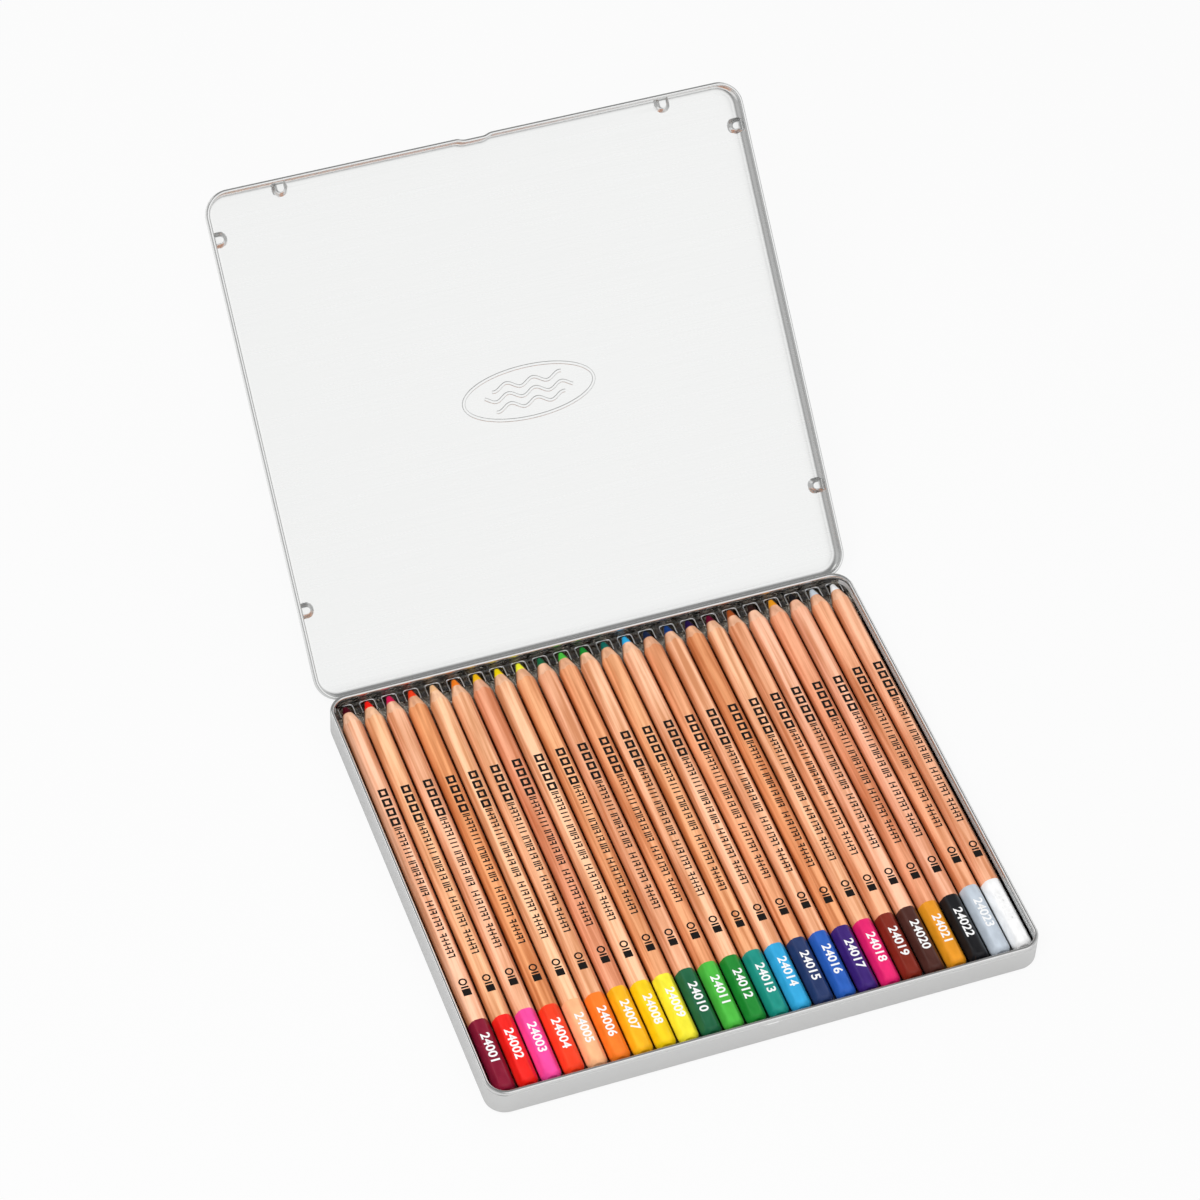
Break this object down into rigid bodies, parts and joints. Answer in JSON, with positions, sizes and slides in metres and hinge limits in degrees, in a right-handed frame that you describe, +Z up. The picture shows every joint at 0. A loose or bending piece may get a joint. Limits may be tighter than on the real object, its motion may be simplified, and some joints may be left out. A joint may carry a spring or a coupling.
{
  "type": "watercolor pencil set",
  "caption": "Flat hinged metal tin standing open, with a clear formed tray that holds a full row of sharpened hexagonal pencils with colour-dipped ends.",
  "frame": {"origin": "middle of the underside of the base", "axes": "+X to the right along the hinge line, +Y from the front towards the hinge and the pencil points, +Z up"},
  "size_m": [0.203, 0.3173, 0.1375],
  "materials": {
    "tinplate": "matt silver tinplate",
    "hinge_steel": "drawn wire",
    "clear_tray": "clear thermoformed sheet",
    "cedar": "clear varnished cedar with a coloured dip at the end",
    "lead_01": "burgundy pigment core",
    "lead_02": "red pigment core",
    "lead_03": "hot pink pigment core",
    "lead_04": "orange red pigment core",
    "lead_05": "peach pigment core",
    "lead_06": "orange pigment core",
    "lead_07": "golden yellow pigment core",
    "lead_08": "yellow pigment core",
    "lead_09": "lemon pigment core",
    "lead_10": "dark green pigment core",
    "lead_11": "light green pigment core",
    "lead_12": "green pigment core",
    "lead_13": "teal green pigment core",
    "lead_14": "sky blue pigment core",
    "lead_15": "navy pigment core",
    "lead_16": "blue pigment core",
    "lead_17": "dark violet pigment core",
    "lead_18": "magenta pigment core",
    "lead_19": "red brown pigment core",
    "lead_20": "dark brown pigment core",
    "lead_21": "ochre pigment core",
    "lead_22": "black pigment core",
    "lead_23": "light grey pigment core",
    "lead_24": "white pigment core"
  },
  "bodies": {
    "base": {"base_pan": "tinplate", "pencil_tray": "clear_tray", "hinge_leaf_left": "tinplate", "hinge_leaf_centre": "tinplate", "hinge_leaf_right": "tinplate"},
    "lid": {"lid": "tinplate", "hinge_wire": "hinge_steel"},
    "pencil_01": {"pencil_01_barrel": "cedar", "pencil_01_lead": "lead_01"},
    "pencil_02": {"pencil_02_barrel": "cedar", "pencil_02_lead": "lead_02"},
    "pencil_03": {"pencil_03_barrel": "cedar", "pencil_03_lead": "lead_03"},
    "pencil_04": {"pencil_04_barrel": "cedar", "pencil_04_lead": "lead_04"},
    "pencil_05": {"pencil_05_barrel": "cedar", "pencil_05_lead": "lead_05"},
    "pencil_06": {"pencil_06_barrel": "cedar", "pencil_06_lead": "lead_06"},
    "pencil_07": {"pencil_07_barrel": "cedar", "pencil_07_lead": "lead_07"},
    "pencil_08": {"pencil_08_barrel": "cedar", "pencil_08_lead": "lead_08"},
    "pencil_09": {"pencil_09_barrel": "cedar", "pencil_09_lead": "lead_09"},
    "pencil_10": {"pencil_10_barrel": "cedar", "pencil_10_lead": "lead_10"},
    "pencil_11": {"pencil_11_barrel": "cedar", "pencil_11_lead": "lead_11"},
    "pencil_12": {"pencil_12_barrel": "cedar", "pencil_12_lead": "lead_12"},
    "pencil_13": {"pencil_13_barrel": "cedar", "pencil_13_lead": "lead_13"},
    "pencil_14": {"pencil_14_barrel": "cedar", "pencil_14_lead": "lead_14"},
    "pencil_15": {"pencil_15_barrel": "cedar", "pencil_15_lead": "lead_15"},
    "pencil_16": {"pencil_16_barrel": "cedar", "pencil_16_lead": "lead_16"},
    "pencil_17": {"pencil_17_barrel": "cedar", "pencil_17_lead": "lead_17"},
    "pencil_18": {"pencil_18_barrel": "cedar", "pencil_18_lead": "lead_18"},
    "pencil_19": {"pencil_19_barrel": "cedar", "pencil_19_lead": "lead_19"},
    "pencil_20": {"pencil_20_barrel": "cedar", "pencil_20_lead": "lead_20"},
    "pencil_21": {"pencil_21_barrel": "cedar", "pencil_21_lead": "lead_21"},
    "pencil_22": {"pencil_22_barrel": "cedar", "pencil_22_lead": "lead_22"},
    "pencil_23": {"pencil_23_barrel": "cedar", "pencil_23_lead": "lead_23"},
    "pencil_24": {"pencil_24_barrel": "cedar", "pencil_24_lead": "lead_24"}
  },
  "joints": [
    {"name": "lid_hinge", "type": "hinge", "parent": "base", "child": "lid", "pos_m": [0, 0.09147, 0.00922], "axis": [-1, 0, 0], "range_deg": [-136.07, 0]},
    {"name": "pencil_01_lift", "type": "slide", "parent": "base", "child": "pencil_01", "axis": [0, 0, 1], "range_m": [0, 0.03]},
    {"name": "pencil_02_lift", "type": "slide", "parent": "base", "child": "pencil_02", "axis": [0, 0, 1], "range_m": [0, 0.03]},
    {"name": "pencil_03_lift", "type": "slide", "parent": "base", "child": "pencil_03", "axis": [0, 0, 1], "range_m": [0, 0.03]},
    {"name": "pencil_04_lift", "type": "slide", "parent": "base", "child": "pencil_04", "axis": [0, 0, 1], "range_m": [0, 0.03]},
    {"name": "pencil_05_lift", "type": "slide", "parent": "base", "child": "pencil_05", "axis": [0, 0, 1], "range_m": [0, 0.03]},
    {"name": "pencil_06_lift", "type": "slide", "parent": "base", "child": "pencil_06", "axis": [0, 0, 1], "range_m": [0, 0.03]},
    {"name": "pencil_07_lift", "type": "slide", "parent": "base", "child": "pencil_07", "axis": [0, 0, 1], "range_m": [0, 0.03]},
    {"name": "pencil_08_lift", "type": "slide", "parent": "base", "child": "pencil_08", "axis": [0, 0, 1], "range_m": [0, 0.03]},
    {"name": "pencil_09_lift", "type": "slide", "parent": "base", "child": "pencil_09", "axis": [0, 0, 1], "range_m": [0, 0.03]},
    {"name": "pencil_10_lift", "type": "slide", "parent": "base", "child": "pencil_10", "axis": [0, 0, 1], "range_m": [0, 0.03]},
    {"name": "pencil_11_lift", "type": "slide", "parent": "base", "child": "pencil_11", "axis": [0, 0, 1], "range_m": [0, 0.03]},
    {"name": "pencil_12_lift", "type": "slide", "parent": "base", "child": "pencil_12", "axis": [0, 0, 1], "range_m": [0, 0.03]},
    {"name": "pencil_13_lift", "type": "slide", "parent": "base", "child": "pencil_13", "axis": [0, 0, 1], "range_m": [0, 0.03]},
    {"name": "pencil_14_lift", "type": "slide", "parent": "base", "child": "pencil_14", "axis": [0, 0, 1], "range_m": [0, 0.03]},
    {"name": "pencil_15_lift", "type": "slide", "parent": "base", "child": "pencil_15", "axis": [0, 0, 1], "range_m": [0, 0.03]},
    {"name": "pencil_16_lift", "type": "slide", "parent": "base", "child": "pencil_16", "axis": [0, 0, 1], "range_m": [0, 0.03]},
    {"name": "pencil_17_lift", "type": "slide", "parent": "base", "child": "pencil_17", "axis": [0, 0, 1], "range_m": [0, 0.03]},
    {"name": "pencil_18_lift", "type": "slide", "parent": "base", "child": "pencil_18", "axis": [0, 0, 1], "range_m": [0, 0.03]},
    {"name": "pencil_19_lift", "type": "slide", "parent": "base", "child": "pencil_19", "axis": [0, 0, 1], "range_m": [0, 0.03]},
    {"name": "pencil_20_lift", "type": "slide", "parent": "base", "child": "pencil_20", "axis": [0, 0, 1], "range_m": [0, 0.03]},
    {"name": "pencil_21_lift", "type": "slide", "parent": "base", "child": "pencil_21", "axis": [0, 0, 1], "range_m": [0, 0.03]},
    {"name": "pencil_22_lift", "type": "slide", "parent": "base", "child": "pencil_22", "axis": [0, 0, 1], "range_m": [0, 0.03]},
    {"name": "pencil_23_lift", "type": "slide", "parent": "base", "child": "pencil_23", "axis": [0, 0, 1], "range_m": [0, 0.03]},
    {"name": "pencil_24_lift", "type": "slide", "parent": "base", "child": "pencil_24", "axis": [0, 0, 1], "range_m": [0, 0.03]}
  ]
}
